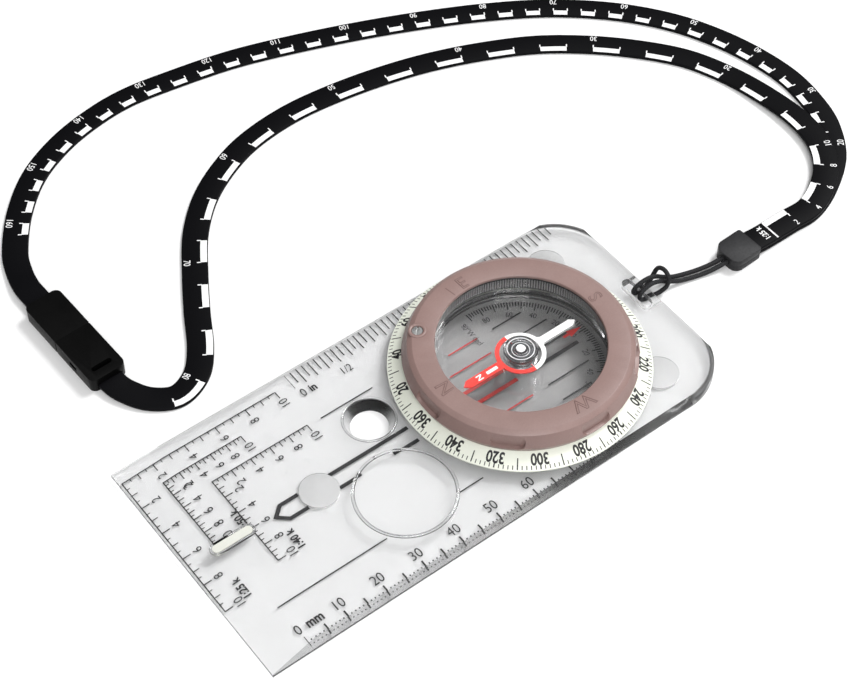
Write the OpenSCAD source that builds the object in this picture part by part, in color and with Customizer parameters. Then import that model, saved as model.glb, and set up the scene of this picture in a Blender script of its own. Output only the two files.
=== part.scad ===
// Baseplate compass with an adjustable declination capsule and a flat lanyard.
// Origin: middle of the plate, on the surface that the feet rest on.
// +Y is the direction of travel, +X the inch edge, +Z up. Millimetres.

/* [Baseplate] */
// Length of the plate along the direction of travel
plate_l = 127; // [120:1:150]
// Width of the plate across its lower edges
plate_w = 61.6; // [60.5:0.1:80]
// Thickness of the plate
plate_t = 2.6; // [2.2:0.1:3.4]
// Width of the sloping band along each long edge
edge_bevel = 1.1; // [0.4:0.1:1.6]
// Radius of the two rear corners
rear_r = 14; // [6:1:20]
// Length of the thin wedge at the front
nose_l = 11; // [6:1:14]
// Thickness left at the front edge
nose_t = 0.8; // [0.6:0.1:1.6]
// Distance from the rear edge to the centre of the dial
dial_setback = 38.5; // [36:0.5:42]

/* [Plate features] */
// Height of the friction feet below the plate
foot_h = 0.4; // [0.2:0.1:0.8]
// Radius of a friction foot
foot_r = 4.5; // [3:0.1:5.5]
// Depth of the seat that holds a foot
foot_seat = 0.5; // [0.3:0.1:0.8]
// Distance from the dial centre forward to the front foot
front_foot_d = 55.2; // [50:0.1:58]
// Distance from the centre line to each rear foot
rear_foot_x = 20; // [17:0.5:22]
// Distance from the dial centre back to the rear feet
rear_foot_d = 24; // [22:0.5:26]
// Radius of the moulded magnifier
lens_r = 11.1; // [8:0.1:12]
// Height of the magnifier's crown above its step
lens_rise = 0.8; // [0.4:0.1:1.6]
// Height of the step round the magnifier
lens_step = 0.3; // [0.1:0.1:0.5]
// Sideways place of the magnifier
lens_x = -12.4; // [-16:0.1:-11]
// Distance from the dial centre forward to the magnifier
lens_d = 41.4; // [41:0.1:46]
// Radius of the marking hole at the top face
hole_top_r = 5.7; // [4.5:0.1:6]
// Radius of the marking hole at the lower face
hole_low_r = 4.3; // [3.5:0.1:5]
// Sideways place of the marking hole
hole_x = 8; // [7:0.1:10]
// Distance from the dial centre forward to the marking hole
hole_d = 36; // [36:0.1:40]
// Length of the luminous bar
bar_l = 9.8; // [6:0.1:12]
// Width of the luminous bar
bar_w = 2.0; // [1.4:0.1:3]
// Height of the luminous bar
bar_h = 1.4; // [1.3:0.1:1.7]
// Distance from the dial centre forward to the middle of the luminous bar
bar_d = 77.4; // [72:0.1:78]
// Length of the lanyard slot across the plate
slot_l = 9.4; // [7:0.1:14]
// Width of the lanyard slot
slot_w = 2.6; // [2:0.1:3]
// Width of the bridge between the slot and the rear edge
bridge_w = 2.5; // [2:0.1:4]

/* [Dial and bezel] */
// Outer radius of the graduated dial
dial_r = 29.8; // [29:0.1:30.2]
// Height of the dial's outer rim
dial_rim_h = 0.45; // [0.3:0.05:0.7]
// Height of the dial from its underside to the foot of the bezel
dial_h = 2.55; // [2.2:0.05:3]
// Radius where the bezel's wall meets the dial
bezel_foot_r = 25.9; // [25.4:0.1:26.3]
// Largest radius of the bezel
bezel_r = 26.6; // [26.2:0.1:27.4]
// Radius of the bezel's flat top
bezel_flat_r = 24.2; // [23.4:0.1:24.4]
// Radius of the round window
window_r = 19.15; // [17.5:0.05:19.6]
// Height of the bezel from its foot to its top
bezel_h = 5.35; // [5.2:0.05:6.5]
// Radius of the gap's inner wall in the soft grip
grip_bore_r = 24.9; // [24.7:0.1:25.1]
// Depth of a finger recess
recess_d = 1.2; // [0.6:0.1:1.4]
// Length of a finger recess
recess_l = 7.6; // [7:0.1:10]
// Height of a finger recess
recess_h = 3.4; // [2.8:0.1:3.6]

/* [Housing] */
// Outer radius of the housing base, which turns in the plate
base_r = 22.9; // [22.5:0.1:23.3]
// Radial clearance of the base in the plate's hole
turn_fit = 0.08; // [0.04:0.01:0.1]
// Thickness of the base's floor
base_floor = 0.6; // [0.5:0.1:0.9]
// Height of the base's floor above the resting surface
base_lift = 0.2; // [0.1:0.05:0.3]
// Height of the base's wall above its floor
base_wall_h = 3.8; // [3.4:0.1:4.2]

/* [Capsule] */
// Outer radius of the liquid-filled capsule
capsule_r = 21.1; // [20.7:0.1:21.4]
// Wall thickness of the capsule
capsule_wall = 0.8; // [0.6:0.1:1]
// Height of the capsule's lower face above the housing floor
capsule_lift = 1.4; // [1:0.1:1.6]
// Height of the capsule
capsule_h = 6.8; // [6.6:0.1:7]
// Thickness of the capsule's lid
lid_t = 0.5; // [0.4:0.1:0.6]
// Teeth round the capsule
gear_teeth = 120; // [120:1:120]
// Teeth on the adjusting pinion
pinion_teeth = 8; // [8:1:8]
// Distance from the dial centre to the adjusting screw
screw_d = 23.2; // [23.1:0.05:23.3]
// Radius of the adjusting screw's head
screw_head_r = 1.2; // [0.9:0.1:1.3]
// Radius of the adjusting screw's shank
shank_r = 0.6; // [0.5:0.05:0.7]

/* [Needle] */
// Distance from the pivot to each tip of the needle
needle_r = 16; // [13:0.1:16.4]
// Width of the needle's arms
arm_w = 2.2; // [1.6:0.1:2.6]
// Outer radius of the needle's ring
ring_r = 5.75; // [5.4:0.05:6.2]
// Radial width of the needle's ring
ring_w = 1.0; // [0.7:0.1:1.2]
// Outer radius of the hub
hub_r = 3.95; // [3.6:0.05:4.2]
// Radius of the jewel's white crown
jewel_r = 1.05; // [0.8:0.05:1.2]

/* [Lanyard] */
// Width of the two straps
strap_w = 6.2; // [5:0.1:6.8]
// Thickness of the two straps
strap_t = 1.0; // [0.7:0.1:1]
// Diameter of the thin cord
cord_d = 1.1; // [0.9:0.1:1.2]
// Length of the clamp
clamp_l = 8.2; // [7:0.1:10]
// Width of the clamp
clamp_w = 7.6; // [7.4:0.1:9]
// Height of the clamp
clamp_h = 3.4; // [3.3:0.1:4]
// Width of the buckle
buckle_w = 9.2; // [8.8:0.1:11]
// Height of the buckle
buckle_h = 3.8; // [3.6:0.1:4.4]
// Length of the buckle's socket half
socket_l = 13.2; // [13.2:0.1:16]
// Length of the buckle's plug half
plug_l = 15; // [14:0.1:18]
// Length of the plug's tongue
tongue_l = 6; // [5.6:0.1:6.4]

/* [Hidden] */
$fn = 96;

eps = 0.01;            // lets a cut run past a face
slide_gap = 0.1;       // between faces that slide past each other
lock_gap = 0.05;       // between a piece and the groove or seat that locates it

// Levels, counted from the resting surface
plate_z = foot_h;
top_z = plate_z + plate_t;
dial_z = top_z + 0.15;
bezel_z = dial_z + dial_h;
crown_z = bezel_z + bezel_h;
base_z = base_lift;
base_top_z = base_z + base_floor;
cup_z = base_top_z + capsule_lift;
cup_floor = 0.6;
lid_z = cup_z + capsule_h;
core_lip_z = lid_z + lid_t + slide_gap;
core_top_z = crown_z - 0.7;

// Places in plan
rear_y = -plate_l / 2;
front_y = plate_l / 2;
dial_y = rear_y + dial_setback;
slot_y = rear_y + bridge_w + slot_w / 2;

// Gearing of the capsule and the screw
pitch_r = screw_d * gear_teeth / (gear_teeth + pinion_teeth);
pinion_pitch_r = screw_d - pitch_r;
tooth_add = 0.25;
tooth_ded = 0.36;
screw_az = 45;         // clockwise from +Y, between N and E
gear_z = cup_z + 2.6;
gear_h = 4.2;
pinion_h = 2.9;
pinion_z = bezel_z + 0.2;

// The needle and its hub
needle_z = cup_z + 4.3;
needle_t = 0.35;
pin_z = needle_z + needle_t / 2;
hub_z = cup_z + 3.6;
hub_top_z = lid_z - 0.35;
hub_wall = 0.5;
ear_r = 0.17;
ear_fit = 0.04;
pin_tip_z = hub_z + 1.7;

// The strap and cord routes
clamp_at = [-4, -87.5, 0];
clamp_turn = 2;
buckle_at = [68, 50.4, 0];
buckle_turn = 2;
cord_z = clamp_h / 2;
strand_x = 0.8;
// The 1:50 000 strap lies on the resting surface and passes under the other one
route_50k = [[-4, -88.5, 1.1], [-4, -92, 1], [-4, -96, 0.6], [-4, -104, 0.5], [-4, -111, 0.5],
             [-1, -119, 0.5], [5, -128, 0.5], [13, -134, 0.5], [21, -137, 0.5], [32, -138.5, 0.5],
             [44, -137, 0.5], [55.5, -133.5, 0.5], [66.5, -128, 0.5], [78, -119, 0.5],
             [89, -106.5, 0.5], [98, -92, 0.5], [105.5, -77, 0.5], [112, -62, 0.5],
             [118, -46, 0.5], [123, -30, 0.5], [126, -14, 0.5], [127.5, -1, 0.5],
             [126.5, 10, 0.5], [123.5, 21, 0.5], [118, 31.5, 0.5], [109.5, 40.5, 0.5],
             [99.5, 47.5, 0.5], [93, 50, 0.7], [88, 51, 1.2], [84.5, 51, 1.3], [80.6, 50.85, 1.3]];
route_25k = [[-4, -88.5, 2.2], [-4, -92, 2.1], [-4, -96, 1.7], [-4, -104, 1.6], [-4, -111, 1.6],
             [-1, -118, 1.6], [4, -124, 1.6], [11, -128, 1.6], [20, -129.5, 1.5],
             [31, -129, 1], [42, -127, 0.5], [53, -122.5, 0.5], [63, -115, 0.5], [72, -106, 0.5],
             [80, -95.5, 0.5], [86, -84, 0.5], [91, -71.5, 0.5], [94.5, -59, 0.5],
             [97, -45, 0.5], [98, -31, 0.5], [96.5, -18, 0.5], [93, -8, 0.5], [87, 2, 0.5],
             [78.5, 10.5, 0.5], [68, 17.5, 0.5], [58, 23.5, 0.5], [49, 28.5, 0.5],
             [43, 33.5, 0.5], [40.5, 40, 0.5], [43.5, 45.5, 0.6], [48.5, 48.8, 1], [52.5, 49.85, 1.3],
             [56, 50, 1.3]];
// The thin cord: out of the clamp, over the bridge, through the slot, round its own two
// strands and back to the clamp
route_cord = [[-4.9, -85.5, 1.7], [-4.8, -82.8, 1.6], [-4.4, -80, 1.1], [-3.7, -77, 0.7], [-2.9, -74, 0.7],
              [-2.1, -71, 1], [-1.4, -68.4, 2], [-1, -66.2, 3.3], [-0.9, -64, 4.2],
              [-0.9, -62, 4.3], [-1, -60.2, 3.6], [-1.1, -59.6, 2.3], [-1.2, -60.3, 1.1],
              [-1.4, -61.9, 0.7], [-1.6, -63.6, 0.7], [-1.9, -65.3, 1], [-2.3, -66.7, 2.2],
              [-2.1, -67.5, 3.9], [-1.2, -67.7, 4.9], [0, -67.8, 5.2], [1.2, -67.7, 4.9],
              [2.1, -67.5, 3.9], [2.3, -66.7, 2.2], [1.9, -65.3, 1], [1.6, -63.6, 0.7],
              [1.4, -61.9, 0.7], [1.2, -60.3, 1.1], [1.1, -59.6, 2.3], [1, -60.2, 3.6],
              [0.9, -62, 4.3], [0.9, -64, 4.2], [0.8, -66.2, 3.3], [0.3, -68.4, 2],
              [-0.4, -71, 1], [-1.2, -74, 0.7], [-2, -77, 0.7], [-2.8, -80, 1.1],
              [-3.3, -82.8, 1.6], [-3.3, -85.5, 1.7]];

function unit(v) = v / norm(v);
// Direction of a route at point i
function heading(p, i) = unit(p[min(i + 1, len(p) - 1)] - p[max(i - 1, 0)]);
// Normals carried along a route without twisting
function carried(p) = [for (i = 0, n = unit(cross(heading(p, 0), [0, 0, 1])); i < len(p);
                            i = i + 1,
                            n = i < len(p) ? unit(n - heading(p, i) * (n * heading(p, i))) : n)
                       n];
// Faces of a closed tube of rings
function tube_faces(rings, sides) = concat(
    [[for (k = [sides - 1:-1:0]) k]],
    [for (i = [0:rings - 2]) for (k = [0:sides - 1])
        [i * sides + k, i * sides + (k + 1) % sides,
         (i + 1) * sides + (k + 1) % sides, (i + 1) * sides + k]],
    [[for (k = [0:sides - 1]) (rings - 1) * sides + k]]);
// Outline of a toothed wheel: four corners a tooth
function toothed(n, root, tip, root_share, tip_share) = [
    for (i = [0:n - 1]) for (c = [[root, -root_share], [tip, -tip_share],
                                  [tip, tip_share], [root, root_share]])
        let (a = 360 / n * (i + c[1])) c[0] * [cos(a), sin(a)]];
// Turns a piece clockwise from +Y about the dial's centre
module at_dial(az = 0) { translate([0, dial_y, 0]) rotate([0, 0, -az]) children(); }
module at_screw() { at_dial(screw_az) translate([0, screw_d, 0]) children(); }
module at_clamp() { translate(clamp_at) rotate([0, 0, clamp_turn]) children(); }
module at_buckle() { translate(buckle_at) rotate([0, 0, buckle_turn]) children(); }
module ring(r_in, r_out, z, h) {
    translate([0, 0, z]) difference() {
        cylinder(r = r_out, h = h);
        translate([0, 0, -eps]) cylinder(r = r_in, h = h + 2 * eps);
    }
}
// A strip with round ends along X
module stadium(l, w) {
    square([l - w, w], center = true);
    for (s = [-1, 1]) translate([s * (l - w) / 2, 0]) circle(d = w, $fn = 32);
}
// A rectangle with round corners, one radius at each end of X
module soft_rect(l, w, r_low, r_high) {
    difference() {
        square([l, w], center = true);
        for (end = [[-1, r_low], [1, r_high]]) for (s = [-1, 1])
            translate([end[0] * (l / 2 - end[1]), s * (w / 2 - end[1])])
                difference() {
                    translate([end[0] > 0 ? 0 : -end[1] - 1, s > 0 ? 0 : -end[1] - 1])
                        square(end[1] + 1);
                    circle(r = end[1], $fn = 40);
                }
    }
}

// ---- the plate and what is fixed to it ----
module plate_outline() {
    translate([-plate_w / 2, rear_y + rear_r]) square([plate_w, plate_l - rear_r]);
    translate([-plate_w / 2 + rear_r, rear_y]) square([plate_w - 2 * rear_r, rear_r + 1]);
    for (s = [-1, 1]) translate([s * (plate_w / 2 - rear_r), rear_y + rear_r]) circle(r = rear_r);
}
module plate_blank() {
    w = plate_w / 2;
    lower = plate_t * 0.25;
    intersection() {
        linear_extrude(plate_t) plate_outline();
        rotate([90, 0, 0]) linear_extrude(plate_l + 2, center = true)
            polygon([[-w, -1], [w, -1], [w, lower], [w - edge_bevel, plate_t],
                     [edge_bevel - w, plate_t], [-w, lower]]);
        rotate([90, 0, 90]) linear_extrude(plate_w + 2, center = true)
            polygon([[rear_y, -1], [front_y, -1], [front_y, nose_t],
                     [front_y - nose_l, plate_t], [rear_y + edge_bevel, plate_t],
                     [rear_y, lower]]);
    }
}
module lens_crown() {
    ball_r = (lens_r * lens_r + lens_rise * lens_rise) / (2 * lens_rise);
    translate([lens_x, dial_y + lens_d, plate_t + lens_step]) intersection() {
        translate([0, 0, lens_rise - ball_r]) sphere(r = ball_r, $fn = 192);
        translate([0, 0, -lens_step - 0.5]) cylinder(r = lens_r, h = lens_rise + lens_step + 1);
    }
}
module at_feet(which) {
    places = [[0, dial_y + front_foot_d], [-rear_foot_x, dial_y - rear_foot_d],
              [rear_foot_x, dial_y - rear_foot_d]];
    translate([places[which][0], places[which][1], 0]) children();
}
module slot_shape(grow = 0) { stadium(slot_l + 2 * grow, slot_w + 2 * grow); }
module baseplate() {
    clip_r = base_r + 1.3;
    color([0.9, 0.93, 0.94, 0.5]) translate([0, 0, plate_z]) difference() {
        union() { plate_blank(); lens_crown(); }
        // hole that the housing turns in, and the room for its retaining ring
        at_dial() translate([0, 0, -1]) cylinder(r = base_r + turn_fit, h = plate_t + 2);
        at_dial() translate([0, 0, -1]) cylinder(r = clip_r + 0.2, h = 2.1);
        for (f = [0:2]) at_feet(f) translate([0, 0, -1]) cylinder(r = foot_r, h = foot_seat + 1);
        translate([hole_x, dial_y + hole_d, -eps])
            cylinder(r1 = hole_low_r, r2 = hole_top_r, h = plate_t + 2 * eps);
        translate([0, dial_y + bar_d, plate_t - bar_h + 0.3])
            rotate(90) linear_extrude(bar_h) stadium(bar_l, bar_w);
        // lanyard slot, and the channel under its bridge
        translate([0, slot_y, -1]) linear_extrude(plate_t + 2) slot_shape();
        translate([-slot_l / 2, rear_y - 1, -1]) cube([slot_l, bridge_w + slot_w / 2 + 1, 2.2]);
    }
}
module foot(which) {
    at_feet(which) cylinder(r = foot_r, h = foot_h + foot_seat);
}
module front_foot() { color("gainsboro") foot(0); }
module left_foot() { color("gainsboro") foot(1); }
module right_foot() { color("gainsboro") foot(2); }
module luminous_bar() {
    color([0.93, 0.92, 0.84]) translate([0, dial_y + bar_d, top_z - bar_h + 0.3])
        rotate(90) linear_extrude(bar_h) stadium(bar_l, bar_w);
}

// ---- the housing, which turns in the plate ----
module dial_ring() {
    seat_in = 24.2;
    seat_out = 26.4;
    color([0.93, 0.95, 0.88]) at_dial() translate([0, 0, dial_z]) rotate_extrude()
        polygon([[base_r + 0.02, 0], [seat_in, 0], [seat_in, 0.3], [seat_out, 0.3], [seat_out, 0],
                 [dial_r - 0.2, 0], [dial_r, 0.2], [dial_r, dial_rim_h],
                 [bezel_foot_r, dial_h], [base_r + 0.02, dial_h]]);
}
module friction_ring() {
    color("dimgray") at_dial() ring(24.2 + lock_gap, 26.4 - lock_gap, top_z + lock_gap, 0.4);
}
module bezel_grip() {
    foot = bezel_z;
    recess_floor = foot + 1.2;
    color([0.62, 0.5, 0.48]) difference() {
        at_dial() rotate_extrude()
            polygon([[window_r, core_top_z], [window_r, crown_z - 0.2],
                     [window_r + 0.2, crown_z], [bezel_flat_r, crown_z],
                     [grip_bore_r + 0.45, core_top_z], [bezel_r, foot + 1.7],
                     [bezel_foot_r, foot], [grip_bore_r, foot],
                     [grip_bore_r, core_top_z]]);
        for (az = [0, 90, 135, 180, 225, 270, 315]) at_dial(az)
            translate([0, bezel_r - recess_d, recess_floor + recess_h / 2])
                rotate([-90, 0, 0]) linear_extrude(4) stadium(recess_l, recess_h);
        at_screw() translate([0, 0, core_top_z - 1]) cylinder(r = screw_head_r + 0.12, h = 3);
        at_screw() translate([0, 0, foot - 1]) cylinder(r = 2, h = core_lip_z - foot + 1);
    }
}
module bezel_core() {
    color([0.2, 0.2, 0.21]) difference() {
        at_dial() rotate_extrude()
            polygon([[22.5, bezel_z], [grip_bore_r, bezel_z], [grip_bore_r, core_top_z],
                     [window_r + 0.25, core_top_z], [window_r + 0.25, core_lip_z],
                     [22.5, core_lip_z]]);
        at_screw() translate([0, 0, bezel_z - 1]) cylinder(r = 2, h = core_lip_z - bezel_z + 1);
        at_screw() cylinder(r = shank_r + 0.03, h = crown_z);
        at_screw() translate([0, 0, core_top_z - 0.45]) cylinder(r = 1.05, h = 2);
    }
}
module housing_base() {
    wall_in = capsule_r + turn_fit;
    ledge_in = wall_in - 0.5;
    clip_z = plate_z + 0.4;
    color([0.75, 0.77, 0.78, 0.6]) at_dial() rotate_extrude()
        polygon([[0, base_z], [base_r, base_z], [base_r, clip_z], [base_r - 0.4, clip_z],
                 [base_r - 0.4, clip_z + 0.5], [base_r, clip_z + 0.5],
                 [base_r, base_top_z + base_wall_h], [wall_in, base_top_z + base_wall_h],
                 [wall_in, cup_z - lock_gap],
                 [ledge_in, cup_z - lock_gap], [ledge_in, base_top_z], [0, base_top_z]]);
}
module retaining_ring() {
    color("silver") at_dial()
        ring(base_r - 0.4, base_r + 1.3, plate_z + 0.4, 0.5);
}

// ---- the declination adjuster ----
module adjusting_screw() {
    head_z = crown_z - 0.65;
    color("lightgray") at_screw() difference() {
        union() {
            translate([0, 0, head_z]) cylinder(r = screw_head_r, h = 0.6);
            translate([0, 0, pinion_z - 0.1]) cylinder(r = shank_r, h = head_z - pinion_z + 0.2);
        }
        translate([-2, -0.2, head_z + 0.3]) cube([4, 0.4, 1]);
    }
}
module pinion() {
    color("darkkhaki") at_screw() translate([0, 0, pinion_z]) rotate(90) difference() {
        linear_extrude(pinion_h) rotate(180 / pinion_teeth)
            polygon(toothed(pinion_teeth, pinion_pitch_r - tooth_ded, pinion_pitch_r + tooth_add,
                            0.27, 0.1));
        translate([0, 0, -1]) cylinder(r = shank_r, h = pinion_h + 2);
    }
}
module screw_seal() {
    color("black") at_screw() ring(shank_r + 0.02, 1.05, core_top_z - 0.45, 0.4);
}

// ---- the capsule, which the pinion turns in the housing ----
module gear_ring() {
    color([0.16, 0.16, 0.17]) at_dial() translate([0, 0, gear_z]) difference() {
        linear_extrude(gear_h) rotate(90 - screw_az)
            polygon(toothed(gear_teeth, pitch_r - tooth_ded, pitch_r + tooth_add, 0.27, 0.1));
        translate([0, 0, -1]) cylinder(r = capsule_r, h = gear_h + 2, $fn = 360);
    }
}
module capsule_cup() {
    in_r = capsule_r - capsule_wall;
    color([0.8, 0.82, 0.83, 0.4]) at_dial() difference() {
        translate([0, 0, cup_z]) cylinder(r = capsule_r, h = capsule_h);
        translate([0, 0, cup_z + cup_floor]) cylinder(r = in_r, h = capsule_h);
        ring(in_r + 0.2, in_r + 0.6, lid_z - 0.4, 1);
        translate([0, 0, cup_z + cup_floor - 0.3]) cylinder(r = 1.5, h = 1);
    }
}
module capsule_lid() {
    color([0.85, 0.87, 0.88, 0.3]) at_dial() translate([0, 0, lid_z])
        cylinder(r = capsule_r, h = lid_t);
}
module lid_gasket() {
    in_r = capsule_r - capsule_wall;
    color("black") at_dial() ring(in_r + 0.2, in_r + 0.6, lid_z - 0.4, 0.4);
}
module pivot_pin() {
    foot_z = cup_z + cup_floor - 0.3;
    color("silver") at_dial() translate([0, 0, foot_z]) rotate_extrude()
        polygon([[0, 0], [1.5, 0], [1.5, 0.6], [0.5, 0.8], [0.4, pin_tip_z - foot_z - 0.8],
                 [0.06, pin_tip_z - foot_z], [0, pin_tip_z - foot_z]]);
}

// ---- the rotor: hub, jewel and magnet ----
module bearing_cup() {
    in_r = hub_r - hub_wall;
    color([0.9, 0.9, 0.92, 0.5]) at_dial() difference() {
        rotate_extrude()
            polygon([[in_r, hub_z], [hub_r, hub_z], [hub_r, hub_top_z - 0.5],
                     [hub_r - 0.25, hub_top_z - 0.25], [2.7, hub_top_z - 0.25],
                     [2.4, hub_top_z - 0.55], [1.7, hub_top_z - 0.55], [1.45, hub_top_z - 0.2],
                     [jewel_r, hub_top_z - 0.2], [jewel_r, hub_z + 1.5], [1.5, hub_z + 1.5],
                     [1.5, hub_z + 1.4], [in_r, hub_z + 1.4]]);
        translate([0, 0, pin_z]) rotate([0, 90, 0])
            cylinder(r = ear_r + ear_fit, h = 2 * hub_r + 2, center = true, $fn = 32);
    }
}
module jewel() {
    color("white") at_dial() rotate_extrude()
        polygon([[0, pin_tip_z + 0.03], [0.15, pin_tip_z + 0.03], [0.5, pin_tip_z - 0.5],
                 [jewel_r, pin_tip_z - 0.5],
                 [jewel_r, hub_top_z - 0.1], [jewel_r - 0.15, hub_top_z], [0, hub_top_z]]);
}
module magnet() {
    color("gray") at_dial() ring(1.3, 3.1, hub_z + 0.15, 1.25);
}

// ---- the needle, hung on the hub by two ears ----
module needle() {
    color("red") at_dial() translate([0, 0, needle_z]) {
        linear_extrude(needle_t) difference() {
            union() {
                circle(r = ring_r);
                for (s = [0, 180]) rotate(s)
                    polygon([[-arm_w / 2, 0], [arm_w / 2, 0], [arm_w / 2, needle_r - 1.4],
                             [0, needle_r], [-arm_w / 2, needle_r - 1.4]]);
            }
            circle(r = ring_r - ring_w);
        }
        for (s = [0, 180]) rotate(s) translate([hub_r - hub_wall, 0, needle_t / 2])
            rotate([0, 90, 0]) cylinder(r = ear_r, h = ring_r - ring_w - hub_r + hub_wall + 0.2,
                                        $fn = 32);
    }
}

// ---- the lanyard ----
module tube(route, r) {
    sides = 8;
    n = carried(route);
    pts = [for (i = [0:len(route) - 1]) for (k = [0:sides - 1])
           let (a = 360 / sides * (k + 0.5), b = cross(heading(route, i), n[i]))
           route[i] + r * (cos(a) * n[i] + sin(a) * b)];
    polyhedron(pts, tube_faces(len(route), sides));
}
module strap(route) {
    w = strap_w / 2;
    t = strap_t / 2;
    c = 0.2;
    section = [[w, t - c], [w - c, t], [c - w, t], [-w, t - c],
               [-w, c - t], [c - w, -t], [w - c, -t], [w, c - t]];
    pts = [for (i = [0:len(route) - 1]) let (h = heading(route, i), s = unit(cross(h, [0, 0, 1])))
           for (q = section) route[i] + q[0] * s + [0, 0, q[1]]];
    polyhedron(pts, [for (f = tube_faces(len(route), 8)) [for (k = [len(f) - 1:-1:0]) f[k]]]);
}
module lanyard_cord() { color([0.15, 0.15, 0.15]) tube(route_cord, cord_d / 2); }
module strap_25k() { color([0.1, 0.1, 0.1]) strap(route_25k); }
module strap_50k() { color([0.08, 0.08, 0.08]) strap(route_50k); }

module clamp_half(z, h) {
    strap_room = [strap_w + 0.3, 5, 2 * strap_t + 0.35];
    color([0.22, 0.22, 0.22]) at_clamp() difference() {
        translate([0, 0, z]) linear_extrude(h) rotate(90) soft_rect(clamp_l, clamp_w, 0.6, 2.2);
        // room for the two straps, and the two holes of the cord
        translate([-strap_room[0] / 2, -clamp_l / 2 - 1, 0.5]) cube(strap_room);
        for (s = [-1, 1]) translate([s * strand_x, clamp_l / 2 + 1, cord_z]) rotate([90, 0, 0])
            cylinder(r = cord_d / 2 + 0.1, h = 3.5, $fn = 32);
    }
}
module clamp_lower() { clamp_half(0, clamp_h / 2); }
module clamp_upper() { clamp_half(clamp_h / 2, clamp_h / 2); }

tongue = [tongue_l, 6, 1.7];
strap_mouth = [5.6, strap_w + 0.3, strap_t + 0.4];
mouth_z = 1.3 - strap_mouth[2] / 2;
module buckle_socket() {
    color([0.07, 0.07, 0.07]) at_buckle() difference() {
        translate([socket_l / 2, 0, 0]) linear_extrude(buckle_h)
            soft_rect(socket_l, buckle_w, 0.3, 1.6);
        translate([-1, -tongue[1] / 2 - slide_gap, buckle_h / 2 - tongue[2] / 2 - slide_gap])
            cube([tongue_l + 1.6, tongue[1] + 2 * slide_gap, tongue[2] + 2 * slide_gap]);
        translate([socket_l - strap_mouth[0], -strap_mouth[1] / 2, mouth_z])
            cube(strap_mouth + [1, 0, 0]);
    }
}
module buckle_plug() {
    color([0.1, 0.1, 0.1]) at_buckle() difference() {
        union() {
            translate([-plug_l / 2 - lock_gap, 0, 0]) linear_extrude(buckle_h)
                soft_rect(plug_l, buckle_w, 1.6, 0.3);
            translate([-1, -tongue[1] / 2, buckle_h / 2 - tongue[2] / 2])
                cube([tongue[0] + 1, tongue[1], tongue[2]]);
        }
        translate([-plug_l - 1, -strap_mouth[1] / 2, mouth_z])
            cube(strap_mouth + [1, 0, 0]);
        // oval slot in the top, and the window in each side
        translate([-plug_l + 3, 0, mouth_z]) linear_extrude(buckle_h) rotate(90)
            stadium(5.2, 1.3);
        for (s = [-1, 1]) translate([-7, s * buckle_w / 2, buckle_h / 2])
            cube([2.8, 1.4, 1.2], center = true);
    }
}

baseplate();
front_foot();
left_foot();
right_foot();
luminous_bar();
dial_ring();
friction_ring();
bezel_grip();
bezel_core();
housing_base();
retaining_ring();
adjusting_screw();
pinion();
screw_seal();
gear_ring();
capsule_cup();
capsule_lid();
lid_gasket();
pivot_pin();
bearing_cup();
jewel();
magnet();
needle();
lanyard_cord();
clamp_upper();
clamp_lower();
strap_25k();
strap_50k();
buckle_socket();
buckle_plug();
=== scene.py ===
"""Looks of a baseplate compass with a declination capsule and a flat two-strap lanyard.

Lengths are in millimetres where they are typed, and metres where they reach Blender.
+Y is the direction of travel, +X the inch edge, +Z up.
"""
import math

import bmesh
import bpy
from mathutils import Matrix, Vector


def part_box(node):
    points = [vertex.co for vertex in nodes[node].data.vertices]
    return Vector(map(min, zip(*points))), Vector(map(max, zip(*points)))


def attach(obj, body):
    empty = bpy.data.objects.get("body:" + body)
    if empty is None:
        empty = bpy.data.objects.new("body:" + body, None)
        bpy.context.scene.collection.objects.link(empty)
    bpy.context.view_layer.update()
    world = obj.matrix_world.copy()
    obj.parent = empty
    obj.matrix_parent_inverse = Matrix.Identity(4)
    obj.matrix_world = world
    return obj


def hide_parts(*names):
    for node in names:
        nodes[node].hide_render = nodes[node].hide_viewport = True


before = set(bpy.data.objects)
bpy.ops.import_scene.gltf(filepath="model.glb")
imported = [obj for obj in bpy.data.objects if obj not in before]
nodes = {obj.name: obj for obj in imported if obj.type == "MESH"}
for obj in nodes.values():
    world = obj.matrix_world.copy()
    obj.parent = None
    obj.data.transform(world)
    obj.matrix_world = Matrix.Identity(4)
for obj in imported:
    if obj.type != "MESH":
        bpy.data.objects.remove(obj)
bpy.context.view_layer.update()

MM = 0.001
UP = Vector((0, 0, 1))
PLATE, HOUSING, CAPSULE, ROTOR, NEEDLE = "plate", "housing", "capsule", "rotor", "needle"

# ---- the camera ------------------------------------------------------------

camera = bpy.data.objects.new("camera", bpy.data.cameras.new("camera"))
camera.data.lens = 86.84
camera.data.sensor_width = 36
camera.data.clip_start = 0.01
looking = Vector((0.4982, -0.3785, -0.7801)).normalized()
sideways = looking.cross(UP).normalized()
camera.matrix_world = Matrix.Translation(Vector((-212.7, 163.3, 364.8)) * MM) @ Matrix(
    (sideways, sideways.cross(looking), -looking)).transposed().to_4x4()
bpy.context.scene.collection.objects.link(camera)
bpy.context.scene.camera = camera

# ---- small tools -----------------------------------------------------------


def link(obj):
    bpy.context.scene.collection.objects.link(obj)
    return obj


def keep(name, mesh, body, material):
    """A finished mesh becomes a piece that rides on a body."""
    mesh.name = name
    if material is not None:
        mesh.materials.clear()
        mesh.materials.append(material)
    piece = link(bpy.data.objects.new(name, mesh))
    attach(piece, body)
    return piece


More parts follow.
